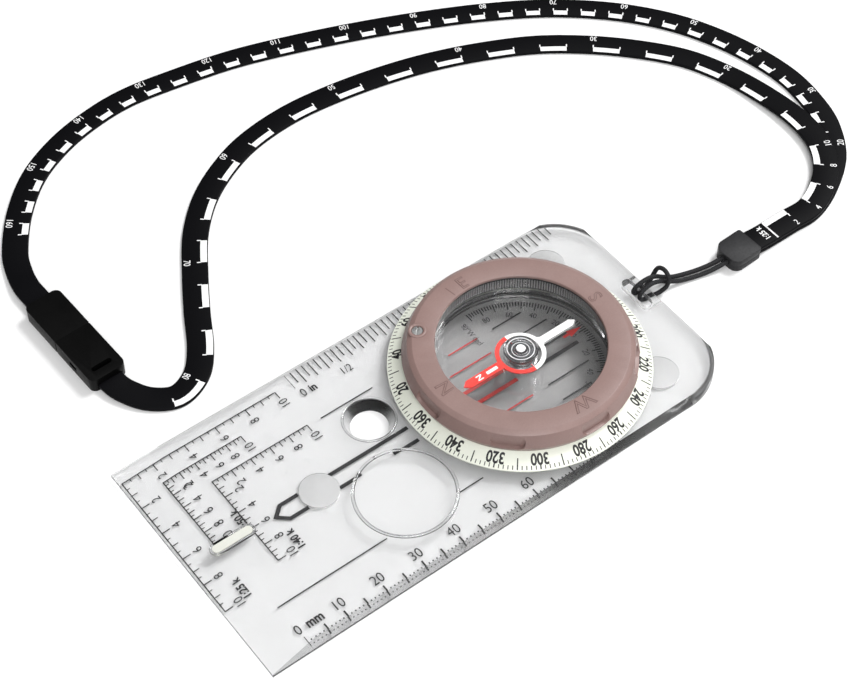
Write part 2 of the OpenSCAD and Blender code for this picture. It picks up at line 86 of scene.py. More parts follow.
def smooth_route(points, steps=10):
    """Points in millimetres become a close, smooth path in metres."""
    p = [Vector(q) * MM for q in points]
    p = [2 * p[0] - p[1]] + p + [2 * p[-1] - p[-2]]
    path = []
    for a, b, c, d in zip(p, p[1:], p[2:], p[3:]):
        for i in range(steps):
            t = i / steps
            path.append(0.5 * (2 * b + (c - a) * t + (2 * a - 5 * b + 4 * c - d) * t * t
                               + (3 * b - a - 3 * c + d) * t ** 3))
    return path + [p[-2]]


def length_of(path):
    return sum((b - a).length for a, b in zip(path, path[1:]))


def sweep(path, section, flat=False):
    """A closed tube: section is a list of (across, up) in metres. Its UV map counts millimetres."""
    mesh = bpy.data.meshes.new("sweep")
    bm = bmesh.new()
    uv = bm.loops.layers.uv.new("along")
    rings, along, side = [], [], None
    for i, p in enumerate(path):
        ahead = (path[min(i + 1, len(path) - 1)] - path[max(i - 1, 0)]).normalized()
        if flat or side is None:
            side = ahead.cross(UP).normalized()
        else:
            side = (side - ahead * side.dot(ahead)).normalized()
        top = UP if flat else side.cross(ahead)
        rings.append([bm.verts.new(p + side * x + top * y) for x, y in section])
        along.append(0 if i == 0 else along[-1] + (p - path[i - 1]).length / MM)
    n = len(section)
    round_at = [0]
    for k in range(n):
        round_at.append(round_at[-1] + (Vector(section[(k + 1) % n]) - Vector(section[k])).length / MM)
    for i in range(len(path) - 1):
        for k in range(n):
            j = (k + 1) % n
            f = bm.faces.new((rings[i][k], rings[i + 1][k], rings[i + 1][j], rings[i][j]))
            f.smooth = True
            for loop, place in zip(f.loops, ((along[i], round_at[k]), (along[i + 1], round_at[k]),
                                             (along[i + 1], round_at[k + 1]), (along[i], round_at[k + 1]))):
                loop[uv].uv = place
    bm.faces.new(rings[0])
    bm.faces.new(list(reversed(rings[-1])))
    bmesh.ops.recalc_face_normals(bm, faces=bm.faces)
    bm.to_mesh(mesh)
    bm.free()
    return mesh


def add(tree, kind, inputs=None, **settings):
    """Adds a node. Its inputs are plain values or other nodes' sockets."""
    node = tree.nodes.new(kind)
    for name, value in settings.items():
        setattr(node, name, value)
    for name, value in (inputs or {}).items():
        if isinstance(value, bpy.types.NodeSocket):
            tree.links.new(value, node.inputs[name])
        else:
            node.inputs[name].default_value = value
    return node


def maths(tree, operation, a, b=0.0, c=0.0, clamp=False):
    return add(tree, "ShaderNodeMath", {0: a, 1: b, 2: c}, operation=operation,
               use_clamp=clamp).outputs[0]


# ---- shared surface effects ------------------------------------------------


def effect(name, inputs, outputs):
    """An empty shader group with named sockets."""
    tree = bpy.data.node_groups.new(name, "ShaderNodeTree")
    for label, kind, value in inputs:
        socket = tree.interface.new_socket(label, in_out="INPUT", socket_type=kind)
        if value is not None:
            socket.default_value = value
    for label, kind in outputs:
        tree.interface.new_socket(label, in_out="OUTPUT", socket_type=kind)
    return tree, add(tree, "NodeGroupInput").outputs, add(tree, "NodeGroupOutput")


FLOAT, COLOUR, VECTOR = "NodeSocketFloat", "NodeSocketColor", "NodeSocketVector"


def handled_effect():
    """Fine finger marks and dust: how rough a smooth moulding is from place to place."""
    tree, given, out = effect("handled surface", [
        ("Vector", VECTOR, None), ("Cleanest", FLOAT, 0.05), ("Dullest", FLOAT, 0.2),
        ("Patch size", FLOAT, 120.0)], [("Roughness", FLOAT), ("Mask", FLOAT)])
    patch = add(tree, "ShaderNodeTexNoise", {"Vector": given["Vector"], "Scale": given["Patch size"],
                                             "Detail": 4.0, "Roughness": 0.6})
    fine = add(tree, "ShaderNodeTexNoise", {"Vector": given["Vector"], "Scale": 2600.0, "Detail": 2.0})
    both = maths(tree, "MULTIPLY_ADD", fine.outputs["Fac"], 0.35,
                 maths(tree, "MULTIPLY", patch.outputs["Fac"], 0.65))
    mask = add(tree, "ShaderNodeMapRange", {"Value": both, "From Min": 0.36, "From Max": 0.64})
    spread = add(tree, "ShaderNodeMapRange", {"Value": mask.outputs[0], "To Min": given["Cleanest"],
                                              "To Max": given["Dullest"]})
    tree.links.new(spread.outputs[0], out.inputs["Roughness"])
    tree.links.new(mask.outputs[0], out.inputs["Mask"])
    return tree


def grain_effect():
    """The fine spark-eroded grain of moulded plastic, with a slight shift of colour."""
    tree, given, out = effect("moulded grain", [
        ("Vector", VECTOR, None), ("Scale", FLOAT, 2200.0), ("Low", COLOUR, (0, 0, 0, 1)),
        ("High", COLOUR, (1, 1, 1, 1))], [("Height", FLOAT), ("Color", COLOUR)])
    cells = add(tree, "ShaderNodeTexVoronoi", {"Vector": given["Vector"], "Scale": given["Scale"]},
                feature="SMOOTH_F1")
    slow = add(tree, "ShaderNodeTexNoise", {"Vector": given["Vector"], "Scale": 160.0, "Detail": 5.0})
    tone = maths(tree, "MULTIPLY_ADD", cells.outputs["Distance"], 0.35,
                 maths(tree, "MULTIPLY", slow.outputs["Fac"], 0.75))
    mix = add(tree, "ShaderNodeMix", {"Factor": tone, "A": given["Low"], "B": given["High"]},
              data_type="RGBA")
    tree.links.new(cells.outputs["Distance"], out.inputs["Height"])
    tree.links.new(mix.outputs["Result"], out.inputs["Color"])
    return tree


def weave_effect():
    """A plain weave on a UV map that counts millimetres."""
    tree, given, out = effect("plain weave", [
        ("Vector", VECTOR, None), ("Threads per mm", FLOAT, 4.0)], [("Height", FLOAT), ("Mask", FLOAT)])
    split = add(tree, "ShaderNodeSeparateXYZ", {0: given["Vector"]})
    turn = maths(tree, "MULTIPLY", given["Threads per mm"], math.pi)
    u = maths(tree, "MULTIPLY", split.outputs["X"], turn)
    v = maths(tree, "MULTIPLY", split.outputs["Y"], turn)
    warp = maths(tree, "MULTIPLY", maths(tree, "SINE", u), maths(tree, "COSINE", v))
    weft = maths(tree, "MULTIPLY", maths(tree, "COSINE", u), maths(tree, "SINE", v))
    high = maths(tree, "MAXIMUM", maths(tree, "ABSOLUTE", warp), maths(tree, "ABSOLUTE", weft))
    fuzz = add(tree, "ShaderNodeTexNoise", {"Vector": given["Vector"], "Scale": 3.0, "Detail": 3.0})
    tree.links.new(maths(tree, "MULTIPLY_ADD", fuzz.outputs["Fac"], 0.3, high), out.inputs["Height"])
    tree.links.new(fuzz.outputs["Fac"], out.inputs["Mask"])
    return tree


def braid_effect():
    """Crossing strands that wind round a thin cord, on a UV map that counts millimetres."""
    tree, given, out = effect("braid", [
        ("Vector", VECTOR, None), ("Strands per mm", FLOAT, 1.6)], [("Height", FLOAT)])
    split = add(tree, "ShaderNodeSeparateXYZ", {0: given["Vector"]})
    one = maths(tree, "ADD", split.outputs["X"], split.outputs["Y"])
    two = maths(tree, "SUBTRACT", split.outputs["X"], split.outputs["Y"])
    turn = maths(tree, "MULTIPLY", given["Strands per mm"], math.pi)
    a = maths(tree, "ABSOLUTE", maths(tree, "SINE", maths(tree, "MULTIPLY", one, turn)))
    b = maths(tree, "ABSOLUTE", maths(tree, "SINE", maths(tree, "MULTIPLY", two, turn)))
    tree.links.new(maths(tree, "MAXIMUM", a, b), out.inputs["Height"])
    return tree


handled, grain, weave, braid = handled_effect(), grain_effect(), weave_effect(), braid_effect()

# ---- materials -------------------------------------------------------------


def material(name, **sockets):
    made = bpy.data.materials.new(name)
    made.use_nodes = True
    shader = made.node_tree.nodes["Principled BSDF"]
    for label, value in sockets.items():
        shader.inputs[label.replace("_", " ")].default_value = value
    return made, made.node_tree, shader


def place_of(tree, uv=False):
    return add(tree, "ShaderNodeTexCoord").outputs["UV" if uv else "Object"]


def use(tree, group, **inputs):
    node = add(tree, "ShaderNodeGroup", node_tree=group)
    for label, value in inputs.items():
        label = label.replace("_", " ")
        if isinstance(value, bpy.types.NodeSocket):
            tree.links.new(value, node.inputs[label])
        else:
            node.inputs[label].default_value = value
    return node.outputs


def bump(tree, shader, height, distance, strength=0.5):
    node = add(tree, "ShaderNodeBump", {"Height": height, "Strength": strength, "Distance": distance})
    tree.links.new(node.outputs[0], shader.inputs["Normal"])


def moulded(name, low, high, rough=(0.3, 0.5), scale=2200.0, depth=0.00002, **sockets):
    """Opaque moulded plastic, rubber or paint."""
    made, tree, shader = material(name, **sockets)
    place = place_of(tree)
    g = use(tree, grain, Vector=place, Scale=scale, Low=(*low, 1), High=(*high, 1))
    h = use(tree, handled, Vector=place, Cleanest=rough[0], Dullest=rough[1])
    tree.links.new(g["Color"], shader.inputs["Base Color"])
    tree.links.new(h["Roughness"], shader.inputs["Roughness"])
    bump(tree, shader, g["Height"], depth, 0.35)
    return made


def clear(name, low, high, rough=(0.0, 0.06), shade=(0.9, 0.92, 0.93), ior=1.49, depth=0.000004, painted_side_shade=None):
    """Clear moulding that lets part of the lamps' light through to what lies under it.
    The colour given for its upright faces is painted shade, darker than the rest; those faces are also a
    little frosted."""
    made, tree, shader = material(name, Transmission_Weight=1.0, IOR=ior)
    place = place_of(tree)
    g = use(tree, grain, Vector=place, Scale=700.0, Low=(*low, 1), High=(*high, 1))
    h = use(tree, handled, Vector=place, Cleanest=rough[0], Dullest=rough[1], Patch_size=70.0)
    colour, dull = g["Color"], h["Roughness"]
    # Upright faces get a darker colour painted as shade, and a little more roughness as frosting.
    if painted_side_shade:
        facing = add(tree, "ShaderNodeSeparateXYZ", {0: add(tree, "ShaderNodeTexCoord").outputs["Normal"]})
        upright = maths(tree, "LESS_THAN", maths(tree, "ABSOLUTE", facing.outputs["Z"]), 0.5)
        colour = add(tree, "ShaderNodeMix", {"Factor": upright, "A": colour, "B": (*painted_side_shade, 1)},
                     data_type="RGBA").outputs["Result"]
        dull = maths(tree, "MULTIPLY_ADD", upright, 0.2, dull)
    tree.links.new(colour, shader.inputs["Base Color"])
    tree.links.new(dull, shader.inputs["Roughness"])
    slow = add(tree, "ShaderNodeTexNoise", {"Vector": place, "Scale": 90.0, "Detail": 1.0})
    bump(tree, shader, slow.outputs["Fac"], depth, 0.2)
    through = add(tree, "ShaderNodeBsdfTransparent", {"Color": (*shade, 1)})
    path = add(tree, "ShaderNodeLightPath")
    mix = add(tree, "ShaderNodeMixShader", {0: path.outputs["Is Shadow Ray"], 1: shader.outputs[0],
                                            2: through.outputs[0]})
    tree.links.new(mix.outputs[0], tree.nodes["Material Output"].inputs["Surface"])
    return made


def metal(name, low, high, rough=(0.2, 0.4), along=(1, 1, 1)):
    made, tree, shader = material(name, Metallic=1.0)
    stretch = add(tree, "ShaderNodeMapping", {"Vector": place_of(tree), "Scale": along})
    g = use(tree, grain, Vector=stretch.outputs[0], Scale=3000.0, Low=(*low, 1), High=(*high, 1))
    h = use(tree, handled, Vector=stretch.outputs[0], Cleanest=rough[0], Dullest=rough[1])
    tree.links.new(g["Color"], shader.inputs["Base Color"])
    tree.links.new(h["Roughness"], shader.inputs["Roughness"])
    bump(tree, shader, g["Height"], 0.00001, 0.3)
    return made


def needle_paint():
    """Red ahead of the pivot and white behind it."""
    made, tree, shader = material("needle lacquer", Coat_Weight=0.3)
    place = place_of(tree)
    split = add(tree, "ShaderNodeSeparateXYZ", {0: place})
    ahead = maths(tree, "GREATER_THAN", split.outputs["Y"], -25 * MM)
    g = use(tree, grain, Vector=place, Scale=2500.0, Low=(0.55, 0.01, 0.005, 1), High=(0.85, 0.03, 0.015, 1))
    w = use(tree, grain, Vector=place, Scale=2500.0, Low=(0.75, 0.76, 0.76, 1), High=(0.92, 0.92, 0.9, 1))
    mix = add(tree, "ShaderNodeMix", {"Factor": ahead, "A": w["Color"], "B": g["Color"]}, data_type="RGBA")
    h = use(tree, handled, Vector=place, Cleanest=0.25, Dullest=0.4)
    tree.links.new(mix.outputs["Result"], shader.inputs["Base Color"])
    tree.links.new(h["Roughness"], shader.inputs["Roughness"])
    bump(tree, shader, g["Height"], 0.00001, 0.3)
    return made


def ribbon(name):
    """Flat woven ribbon with a satin rubbed face."""
    made, tree, shader = material(name, Specular_IOR_Level=0.06)
    place = place_of(tree, uv=True)
    w = use(tree, weave, Vector=place, Threads_per_mm=3.2)
    tone = add(tree, "ShaderNodeMix", {"Factor": w["Mask"], "A": (0.0015, 0.0015, 0.002, 1),
                                       "B": (0.004, 0.004, 0.005, 1)}, data_type="RGBA")
    rough = add(tree, "ShaderNodeMapRange", {"Value": w["Mask"], "To Min": 0.38, "To Max": 0.6})
    tree.links.new(tone.outputs["Result"], shader.inputs["Base Color"])
    tree.links.new(rough.outputs[0], shader.inputs["Roughness"])
    bump(tree, shader, w["Height"], 0.00003, 0.35)
    return made


def cord_finish():
    made, tree, shader = material("braided cord", Specular_IOR_Level=0.1)
    place = place_of(tree, uv=True)
    b = use(tree, braid, Vector=place, Strands_per_mm=1.5)
    # The braid's grooves are painted darker as shade, and its crests lighter as painted sheen.
    tone = add(tree, "ShaderNodeMix", {"Factor": b["Height"], "A": (0.003, 0.003, 0.003, 1),
                                       "B": (0.03, 0.03, 0.032, 1)}, data_type="RGBA")
    rough = add(tree, "ShaderNodeMapRange", {"Value": b["Height"], "To Min": 0.75, "To Max": 0.5})
    tree.links.new(tone.outputs["Result"], shader.inputs["Base Color"])
    tree.links.new(rough.outputs[0], shader.inputs["Roughness"])
    bump(tree, shader, b["Height"], 0.00008, 0.6)
    return made


def ink(name, low, high, rough=(0.35, 0.55)):
    return moulded(name, low, high, rough, scale=4000.0, depth=0.000004)


# The acrylic's upright faces are painted darker, as shade on its edges.
acrylic = clear("clear acrylic", (0.85, 0.852, 0.854), (0.89, 0.892, 0.894), rough=(0.0, 0.02),
                shade=(0.42, 0.42, 0.42), depth=0.000001, painted_side_shade=(0.74, 0.74, 0.75))
# A rough see-through sheet whose grey is painted shade for the dark edges of the clear plate.
frosted_edge_painted_shade = clear("frosted edge painted shade", (0.44, 0.44, 0.44), (0.56, 0.56, 0.56), rough=(0.3, 0.45),
                     shade=(0.7, 0.7, 0.7))
base_plastic = clear("clear housing base", (0.7, 0.695, 0.695), (0.78, 0.775, 0.775), rough=(0.0, 0.03),
                     shade=(0.66, 0.66, 0.66), depth=0.0)
capsule_plastic = clear("clear capsule", (0.89, 0.89, 0.89), (0.95, 0.95, 0.95), rough=(0.0, 0.02),
                        shade=(0.8, 0.8, 0.8), depth=0.0)
window_plastic = clear("clear window", (0.975, 0.975, 0.975), (0.99, 0.99, 0.99), rough=(0.0, 0.01),
                       shade=(0.8, 0.8, 0.8), depth=0.0)
hub_plastic = clear("clear hub", (0.86, 0.87, 0.88), (0.95, 0.95, 0.96), rough=(0.03, 0.1))
silicone = moulded("milky silicone", (0.66, 0.66, 0.66), (0.76, 0.76, 0.76), (0.35, 0.5), scale=1500.0)
luminous = moulded("luminous resin", (0.58, 0.59, 0.53), (0.7, 0.7, 0.65), (0.3, 0.5))
dial_plastic = moulded("luminous dial plastic", (0.8, 0.83, 0.71), (0.9, 0.92, 0.83), (0.28, 0.42),
                       scale=2600.0)
bezel_plastic = moulded("smoky brown bezel plastic", (0.21, 0.132, 0.119), (0.29, 0.19, 0.172), (0.36, 0.5),
                        scale=3200.0, depth=0.00001, Coat_Weight=0.12, Coat_Roughness=0.25)
core_plastic = moulded("black core plastic", (0.008, 0.008, 0.009), (0.03, 0.03, 0.032), (0.35, 0.5))
gear_plastic = moulded("black gear plastic", (0.006, 0.006, 0.007), (0.03, 0.03, 0.032), (0.3, 0.45))
rib_plastic = moulded("grey rib plastic", (0.2, 0.2, 0.2), (0.34, 0.34, 0.34), (0.4, 0.55))
seal_rubber = moulded("black seal rubber", (0.006, 0.006, 0.006), (0.025, 0.025, 0.025), (0.55, 0.75))
clamp_plastic = moulded("clamp plastic", (0.008, 0.008, 0.009), (0.03, 0.03, 0.032), (0.4, 0.55),
                        scale=1600.0, depth=0.00005, Specular_IOR_Level=0.2)
buckle_black = moulded("buckle plastic", (0.0012, 0.0012, 0.0012), (0.004, 0.004, 0.004), (0.28, 0.42),
                       scale=2000.0, Specular_IOR_Level=0.08)
jewel_white = moulded("white jewel", (0.85, 0.85, 0.86), (0.96, 0.96, 0.96), (0.08, 0.2), Coat_Weight=0.6)
steel = metal("turned steel", (0.42, 0.42, 0.42), (0.66, 0.66, 0.65))
spring_steel = metal("spring steel", (0.4, 0.4, 0.41), (0.6, 0.6, 0.6), along=(1, 1, 4))
pivot_steel = metal("polished pivot steel", (0.55, 0.55, 0.56), (0.75, 0.75, 0.75), (0.08, 0.2))
brass = metal("cut brass", (0.5, 0.36, 0.13), (0.72, 0.54, 0.24))
magnet_metal = metal("sintered magnet", (0.16, 0.16, 0.17), (0.32, 0.32, 0.33), (0.35, 0.6))
needle_lacquer = needle_paint()
black_ribbon = ribbon("black ribbon")
cord_black = cord_finish()
black_ink = ink("black ink", (0.004, 0.004, 0.005), (0.02, 0.02, 0.022))
red_ink = ink("red ink", (0.42, 0.008, 0.005), (0.62, 0.02, 0.012))
white_ink = ink("white ink", (0.78, 0.78, 0.78), (0.92, 0.92, 0.92))
# Darker than the bezel: painted shade for the moulded grooves of the bezel's letters and line.
groove_shade_ink = ink("moulded letters painted shade", (0.13, 0.075, 0.065), (0.19, 0.11, 0.1))

# ---- the three cords -------------------------------------------------------

ROUTE_25K = [(-4, -88.5, 2.2), (-4, -92, 2.1), (-4, -96, 1.7), (-4, -104, 1.6), (-4, -111, 1.6),
             (-1, -118, 1.6), (4, -124, 1.6), (11, -128, 1.6), (20, -129.5, 1.5), (31, -129, 1),
             (42, -127, 0.5), (53, -122.5, 0.5), (63, -115, 0.5), (72, -106, 0.5),
             (80, -95.5, 0.5), (86, -84, 0.5), (91, -71.5, 0.5), (94.5, -59, 0.5), (97, -45, 0.5),
             (98, -31, 0.5), (96.5, -18, 0.5), (93, -8, 0.5), (87, 2, 0.5), (78.5, 10.5, 0.5),
             (68, 17.5, 0.5), (58, 23.5, 0.5), (49, 28.5, 0.5), (43, 33.5, 0.5), (40.5, 40, 0.5),
             (43.5, 45.5, 0.6), (48.5, 48.8, 1), (52.5, 49.85, 1.3), (56, 50, 1.3)]
ROUTE_50K = [(-4, -88.5, 1.1), (-4, -92, 1), (-4, -96, 0.6), (-4, -104, 0.5), (-4, -111, 0.5),
             (-1, -119, 0.5), (5, -128, 0.5), (13, -134, 0.5), (21, -137, 0.5), (32, -138.5, 0.5),
             (44, -137, 0.5), (55.5, -133.5, 0.5), (66.5, -128, 0.5), (78, -119, 0.5),
             (89, -106.5, 0.5), (98, -92, 0.5), (105.5, -77, 0.5), (112, -62, 0.5),
             (118, -46, 0.5), (123, -30, 0.5), (126, -14, 0.5), (127.5, -1, 0.5),
             (126.5, 10, 0.5), (123.5, 21, 0.5), (118, 31.5, 0.5), (109.5, 40.5, 0.5),
             (99.5, 47.5, 0.5), (93, 50, 0.7), (88, 51, 1.2), (84.5, 51, 1.3), (80.6, 50.85, 1.3)]
ROUTE_CORD = [(-4.9, -85.5, 1.7), (-4.8, -82.8, 1.6), (-4.4, -80, 1.1), (-3.7, -77, 0.7),
              (-2.9, -74, 0.7), (-2.1, -71, 1), (-1.4, -68.4, 2), (-1, -66.2, 3.3), (-0.9, -64, 4.2),
              (-0.9, -62, 4.3), (-1, -60.2, 3.6), (-1.1, -59.6, 2.3), (-1.2, -60.3, 1.1),
              (-1.4, -61.9, 0.7), (-1.6, -63.6, 0.7), (-1.9, -65.3, 1), (-2.3, -66.7, 2.2),
              (-2.1, -67.5, 3.9), (-1.2, -67.7, 4.9), (0, -67.8, 5.2), (1.2, -67.7, 4.9),
              (2.1, -67.5, 3.9), (2.3, -66.7, 2.2), (1.9, -65.3, 1), (1.6, -63.6, 0.7),
              (1.4, -61.9, 0.7), (1.2, -60.3, 1.1), (1.1, -59.6, 2.3), (1, -60.2, 3.6),
              (0.9, -62, 4.3), (0.9, -64, 4.2), (0.8, -66.2, 3.3), (0.3, -68.4, 2), (-0.4, -71, 1),
              (-1.2, -74, 0.7), (-2, -77, 0.7), (-2.8, -80, 1.1), (-3.3, -82.8, 1.6),
              (-3.3, -85.5, 1.7)]
STRAP_W, STRAP_T, CORD_D = 6.2, 1.0, 1.1


def strap_section(w, t, soft=0.25):
    """A flat strap's outline with round edges, clockwise as seen along the strap."""
    corners = [(1, 1, 90), (1, -1, 0), (-1, -1, -90), (-1, 1, -180)]
    points = []
    for sx, sy, start in corners:
        for step in (0, 30, 60, 90):
            a = math.radians(start - step)
            points.append(((sx * (w / 2 - soft) + soft * math.cos(a)) * MM,
                           (sy * (t / 2 - soft) + soft * math.sin(a)) * MM))
    return points


path_25k, path_50k, path_cord = smooth_route(ROUTE_25K), smooth_route(ROUTE_50K), smooth_route(ROUTE_CORD)
strap_25k = keep("strap_25k_ribbon", sweep(path_25k, strap_section(STRAP_W, STRAP_T), flat=True),
                 PLATE, black_ribbon)
strap_50k = keep("strap_50k_ribbon", sweep(path_50k, strap_section(STRAP_W, STRAP_T), flat=True),
                 PLATE, black_ribbon)
CORD_SIDES = 14
round_section = [(CORD_D / 2 * MM * math.cos(-2 * math.pi * k / CORD_SIDES),
                  CORD_D / 2 * MM * math.sin(-2 * math.pi * k / CORD_SIDES)) for k in range(CORD_SIDES)]
cord = keep("lanyard_cord_braid", sweep(path_cord, round_section), PLATE, cord_black)
for piece, node, path, across, held in (
        (strap_25k, "strap_25k", path_25k, STRAP_W, [nodes["clamp_lower"], nodes["clamp_upper"]]),
        (strap_50k, "strap_50k", path_50k, STRAP_W, [nodes["buckle_plug"], nodes["buckle_socket"]]),
        (cord, "lanyard_cord", path_cord, CORD_D, [])):
    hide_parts(node)

# ---- floor and light -------------------------------------------------------

bpy.ops.mesh.primitive_plane_add(size=6, location=(0, 0, 0))
floor = bpy.context.object
floor.name = "floor"
floor.data.materials.append(moulded("pale floor", (0.86, 0.86, 0.86), (0.9, 0.9, 0.9), (0.5, 0.6),
                                    scale=300.0, depth=0.000001))

world = bpy.data.worlds.new("studio")
world.use_nodes = True
bpy.context.scene.world = world
sky = world.node_tree
direction = add(sky, "ShaderNodeTexCoord").outputs["Generated"]
direction = add(sky, "ShaderNodeVectorMath", {0: direction}, operation="NORMALIZE").outputs[0]
toward = add(sky, "ShaderNodeVectorMath", {0: direction, 1: Vector((-0.42, 0.12, 0.9)).normalized()},
             operation="DOT_PRODUCT")
lit = maths(sky, "POWER", maths(sky, "MAXIMUM", toward.outputs["Value"], 0.0), 2.0)
height = add(sky, "ShaderNodeSeparateXYZ", {0: direction}).outputs["Z"]
above = add(sky, "ShaderNodeMapRange", {"Value": height, "From Min": 0.08, "From Max": 0.5, "To Min": 0.12,
                                        "To Max": 1.0}, interpolation_type="SMOOTHSTEP").outputs[0]
level = maths(sky, "MULTIPLY", maths(sky, "MULTIPLY_ADD", lit, 1.1, 0.1), above)
sky.links.new(level, sky.nodes["Background"].inputs["Color"])
sky.nodes["Background"].inputs["Strength"].default_value = 1.0
bpy.context.scene.view_settings.view_transform = "Standard"


def soft_light(name, place, aim, size, power):
    lamp = bpy.data.lights.new(name, "AREA")
    lamp.shape = "DISK"
    lamp.size = size
    lamp.energy = power
    obj = link(bpy.data.objects.new(name, lamp))
    obj.location = place
    obj.rotation_euler = (Vector(aim) - Vector(place)).to_track_quat("-Z", "Y").to_euler()


soft_light("key light", (0.1, -1.15, 1.35), (0.03, -0.03, 0), 0.7, 24)
soft_light("fill light", (-1.1, 0.5, 1.2), (0, 0, 0), 1.0, 12)

# ---- moulded pieces with softened edges ------------------------------------


def merged_copy(node, flatten):
    """A closed copy of a CAD node, with its flat faces joined up again if flatten is true."""
    bm = bmesh.new()
    bm.from_mesh(nodes[node].data)
    bmesh.ops.remove_doubles(bm, verts=bm.verts, dist=0.000002)
    if flatten:
        bmesh.ops.dissolve_limit(bm, angle_limit=math.radians(0.6), verts=bm.verts, edges=bm.edges)
    mesh = bpy.data.meshes.new(node)
    bm.to_mesh(mesh)
    bm.free()
    return mesh


def applied(mesh, *modifiers):
    """The mesh after its modifiers, given as (type, settings)."""
    obj = link(bpy.data.objects.new("bench", mesh))
    for kind, settings in modifiers:
        m = obj.modifiers.new(kind.lower(), kind)
        for label, value in settings.items():
            setattr(m, label, value)
    bpy.context.view_layer.update()
    done = bpy.data.meshes.new_from_object(obj.evaluated_get(bpy.context.evaluated_depsgraph_get()))
    bpy.data.objects.remove(obj)
    return done


def soften(node, body, finish, width, segments=3, angle=30, flatten=True, slack=0.0):
    """A rounded-edge twin of a CAD node that stands for it, smaller by its slack in millimetres."""
    mesh = merged_copy(node, flatten)
    for face in mesh.polygons:
        face.use_smooth = True
    mesh = applied(mesh, ("BEVEL", {
        "width": width * MM, "segments": segments, "limit_method": "ANGLE", "harden_normals": True,
        "angle_limit": math.radians(angle), "use_clamp_overlap": True}))
    if slack:
        low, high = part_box(node)
        middle = (low + high) / 2
        for v in mesh.vertices:
            v.co -= Vector([slack * MM * (1 if c > m else -1) for c, m in zip(v.co, middle)])
    piece = keep(node + "_moulding", mesh, body, finish)
    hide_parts(node)
    return piece


def dress(finish, *names):
    for name in names:
        nodes[name].data.materials[0] = finish


soften("bezel_grip", HOUSING, bezel_plastic, 0.16, angle=26, flatten=False)
soften("clamp_upper", PLATE, clamp_plastic, 0.35, angle=40)
soften("clamp_lower", PLATE, clamp_plastic, 0.3, angle=40)
soften("buckle_socket", "buckle_half", buckle_black, 0.4, angle=40)
soften("buckle_plug", PLATE, buckle_black, 0.4, angle=40)
for foot in ("front_foot", "left_foot", "right_foot"):
    soften(foot, PLATE, silicone, 0.08, slack=0.02)
dress(acrylic, "baseplate")
dress(luminous, "luminous_bar")
dress(dial_plastic, "dial_ring")
dress(seal_rubber, "friction_ring", "screw_seal", "lid_gasket")
dress(core_plastic, "bezel_core")
dress(base_plastic, "housing_base")
dress(spring_steel, "retaining_ring")
dress(steel, "adjusting_screw")
dress(brass, "pinion")
dress(gear_plastic, "gear_ring")
dress(capsule_plastic, "capsule_cup")
dress(window_plastic, "capsule_lid")
dress(pivot_steel, "pivot_pin")
dress(hub_plastic, "bearing_cup")
dress(jewel_white, "jewel")
dress(magnet_metal, "magnet")
dress(needle_lacquer, "needle")

# ---- marks that repeat along a path ----------------------------------------


def marks_tree():
    """Lays a row of equal marks along the path that comes in. Across is to the path's left."""
    tree = bpy.data.node_groups.new("marks along a path", "GeometryNodeTree")
    sizes = ("Start", "Pitch", "Length", "Width", "Side", "Lift", "Slope")
    tree.interface.new_socket("Path", in_out="INPUT", socket_type="NodeSocketGeometry")
    tree.interface.new_socket("Count", in_out="INPUT", socket_type="NodeSocketInt")
    for label in sizes:
        tree.interface.new_socket(label, in_out="INPUT", socket_type=FLOAT)
    tree.interface.new_socket("Ink", in_out="INPUT", socket_type="NodeSocketMaterial")
    tree.interface.new_socket("Marks", in_out="OUTPUT", socket_type="NodeSocketGeometry")
    given = add(tree, "NodeGroupInput").outputs
    out = add(tree, "NodeGroupOutput")
    start = add(tree, "ShaderNodeCombineXYZ", {0: given["Start"], 1: given["Side"]})
    step = add(tree, "ShaderNodeCombineXYZ", {0: given["Pitch"]})
    row = add(tree, "GeometryNodeMeshLine", {"Count": given["Count"], "Start Location": start.outputs[0],
                                             "Offset": step.outputs[0]}, mode="OFFSET")
    mark = add(tree, "GeometryNodeMeshGrid", {"Size X": given["Length"], "Size Y": given["Width"],
                                              "Vertices X": 7, "Vertices Y": 2})
    copies = add(tree, "GeometryNodeInstanceOnPoints", {"Points": row.outputs[0],
                                                        "Instance": mark.outputs["Mesh"]})
    real = add(tree, "GeometryNodeRealizeInstances", {0: copies.outputs[0]})
    where = add(tree, "ShaderNodeSeparateXYZ", {0: add(tree, "GeometryNodeInputPosition").outputs[0]})
    curve = add(tree, "GeometryNodeMeshToCurve", {"Mesh": given["Path"]})
    on_path = add(tree, "GeometryNodeSampleCurve", {"Curves": curve.outputs[0], "Length": where.outputs["X"]},
                  mode="LENGTH", use_all_curves=True)
    level = add(tree, "ShaderNodeVectorMath", {0: on_path.outputs["Tangent"], 1: (1, 1, 0)},
                operation="MULTIPLY")
    level = add(tree, "ShaderNodeVectorMath", {0: level.outputs[0]}, operation="NORMALIZE")
    left = add(tree, "ShaderNodeVectorMath", {0: (0, 0, 1), 1: level.outputs[0]}, operation="CROSS_PRODUCT")
    across = add(tree, "ShaderNodeVectorMath", {0: left.outputs[0], "Scale": where.outputs["Y"]},
                 operation="SCALE")
    rise = maths(tree, "MULTIPLY_ADD", where.outputs["Y"], given["Slope"], given["Lift"])
    up = add(tree, "ShaderNodeCombineXYZ", {2: rise})
    total = add(tree, "ShaderNodeVectorMath", {0: on_path.outputs["Position"], 1: across.outputs[0]})
    total = add(tree, "ShaderNodeVectorMath", {0: total.outputs[0], 1: up.outputs[0]})
    laid = add(tree, "GeometryNodeSetPosition", {"Geometry": real.outputs[0], "Position": total.outputs[0]})
    inked = add(tree, "GeometryNodeSetMaterial", {"Geometry": laid.outputs[0], "Material": given["Ink"]})
    tree.links.new(inked.outputs[0], out.inputs["Marks"])
    return tree


marks_group = marks_tree()
socket_id = {s.name: s.identifier for s in marks_group.interface.items_tree if s.in_out == "INPUT"}


